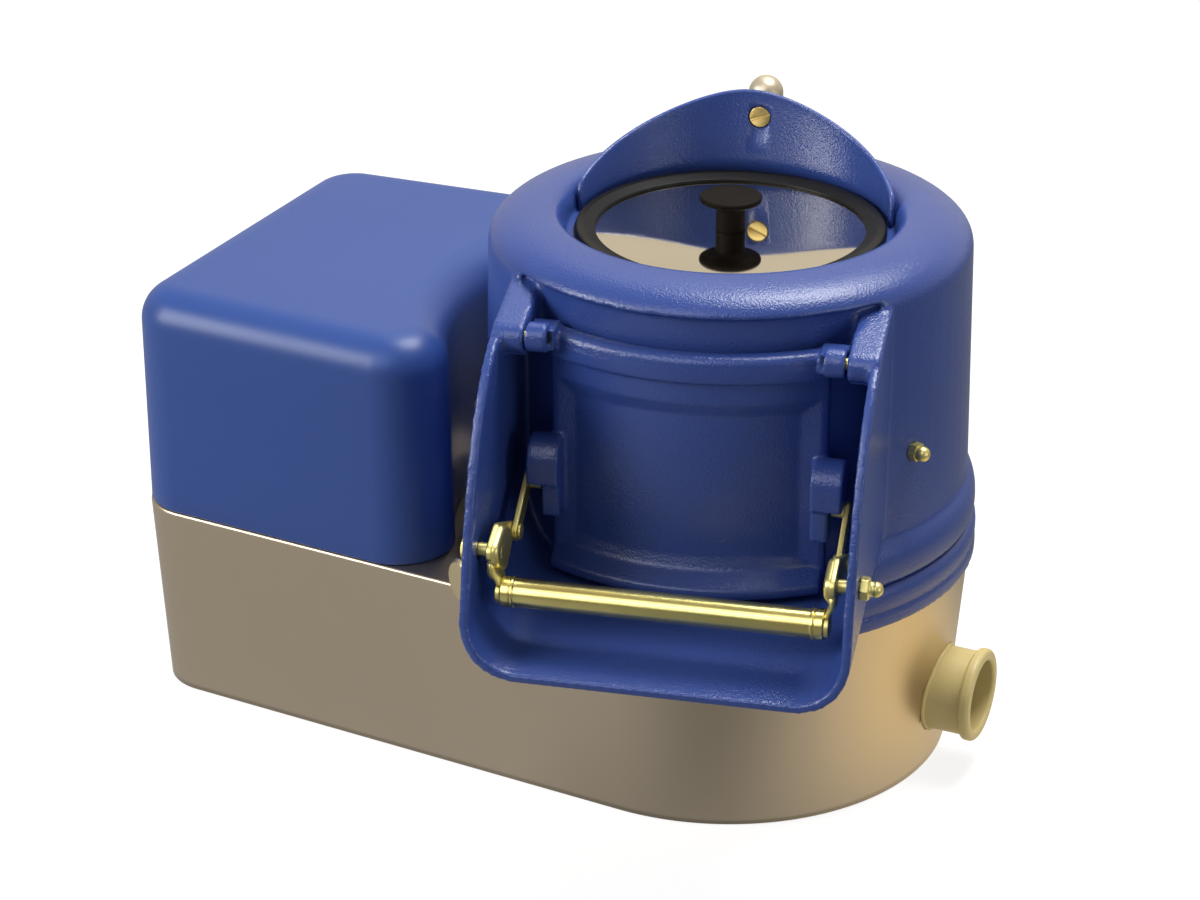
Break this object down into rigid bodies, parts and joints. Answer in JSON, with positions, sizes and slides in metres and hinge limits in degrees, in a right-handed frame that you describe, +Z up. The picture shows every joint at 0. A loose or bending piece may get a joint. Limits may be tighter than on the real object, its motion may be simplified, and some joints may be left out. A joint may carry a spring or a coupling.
{
  "type": "electric potato peeler",
  "caption": "Countertop electric potato peeler: blue cast drum with front chute and hinged door, polished lid, blue motor cover and satin stainless base with side waste outlet.",
  "frame": {"origin": "on the drum axis, at the underside of the base", "axes": "+Z up along the drum axis, +X towards the waste outlet and away from the motor, +Y towards the back of the machine"},
  "size_m": [0.459, 0.3489, 0.3365],
  "materials": {
    "stainless": "satin",
    "blue_paint": "hammered satin",
    "cover_blue": "satin",
    "polished": "mirror",
    "zinc_gold": "passivated",
    "brass": "worn",
    "rubber_black": "matte",
    "knob_black": "gloss",
    "beige_plastic": "satin",
    "black_plastic": "matte",
    "green_plastic": "gloss",
    "red_plastic": "gloss",
    "raw_casting": "cast",
    "ground_steel": "ground",
    "abrasive": "gritty",
    "inlet_metal": "cast satin",
    "motor_grey": "satin"
  },
  "bodies": {
    "base": {"base_shell": "stainless", "base_plate": "stainless", "base_plate_screws": "ground_steel", "motor_cover": "cover_blue", "cover_screws": "zinc_gold", "switch_plate": "black_plastic", "cable_gland": "black_plastic", "base_ring": "blue_paint", "drum": "blue_paint", "drum_studs": "zinc_gold", "wall_liner": "abrasive", "hinge_pins": "ground_steel", "pivot_studs": "zinc_gold", "pivot_nuts": "zinc_gold", "splash_guard": "blue_paint", "guard_screw": "brass", "water_inlet": "inlet_metal", "waste_outlet": "beige_plastic", "drain_elbow": "rubber_black", "spindle_housing": "raw_casting", "spindle_bearings": "ground_steel", "shaft_seal": "rubber_black", "motor": "motor_grey", "motor_bracket": "raw_casting", "drive_belt": "rubber_black"},
    "door": {"door": "blue_paint", "door_gasket": "rubber_black"},
    "handle": {"handle_plates": "zinc_gold", "handle_bar": "zinc_gold", "handle_rivets": "zinc_gold"},
    "latch_links": {"latch_links": "zinc_gold", "latch_tips": "zinc_gold"},
    "lid": {"lid_plate": "polished", "lid_seal": "rubber_black", "lid_knob": "knob_black", "lid_screw": "ground_steel"},
    "peeling_plate": {"spindle": "ground_steel", "peeling_plate": "abrasive", "spindle_pulley": "raw_casting"},
    "motor_rotor": {"motor_shaft": "ground_steel", "motor_pulley": "raw_casting"},
    "clamp_knob": {"clamp_screw": "zinc_gold", "clamp_knob": "inlet_metal"},
    "start_button": {"start_button": "green_plastic"},
    "stop_button": {"stop_button": "red_plastic"}
  },
  "joints": [
    {"name": "door_hinge", "type": "hinge", "parent": "base", "child": "door", "pos_m": [0.02554, -0.1152, 0.267], "axis": [-0.9763, -0.2164, 0], "range_deg": [0, 30]},
    {"name": "handle_pivot", "type": "hinge", "parent": "base", "child": "handle", "pos_m": [0.03701, -0.16695, 0.174], "axis": [-0.9763, -0.2164, 0], "range_deg": [0, 105]},
    {"name": "latch_link_pivot", "type": "hinge", "parent": "handle", "child": "latch_links", "pos_m": [0.02976, -0.13424, 0.1685], "axis": [-0.9763, -0.2164, 0], "range_deg": [-82, 0]},
    {"name": "lid_lift", "type": "slide", "parent": "base", "child": "lid", "axis": [0, 0, 1], "range_m": [0, 0.1]},
    {"name": "peeling_plate_spin", "type": "hinge", "parent": "base", "child": "peeling_plate", "pos_m": [0, 0, 0.1], "axis": [0, 0, 1], "continuous": true},
    {"name": "motor_spin", "type": "hinge", "parent": "base", "child": "motor_rotor", "pos_m": [-0.222, 0, 0.1], "axis": [0, 0, 1], "continuous": true},
    {"name": "clamp_knob_turn", "type": "hinge", "parent": "base", "child": "clamp_knob", "pos_m": [-0.07897, -0.12161, 0.1245], "axis": [-0.5446, -0.8387, 0], "continuous": true},
    {"name": "start_press", "type": "slide", "parent": "base", "child": "start_button", "axis": [0, -1, 0], "range_m": [0, 0.003], "stiffness_N_per_m": 400, "springref_m": -0.002},
    {"name": "stop_press", "type": "slide", "parent": "base", "child": "stop_button", "axis": [0, -1, 0], "range_m": [0, 0.003], "stiffness_N_per_m": 400, "springref_m": -0.002}
  ],
  "couplings": [
    {"joint": "handle_pivot", "follows": "door_hinge", "ratio": 3.5},
    {"joint": "latch_link_pivot", "follows": "door_hinge", "ratio": -2.733},
    {"joint": "motor_spin", "follows": "peeling_plate_spin", "ratio": 3.822}
  ]
}
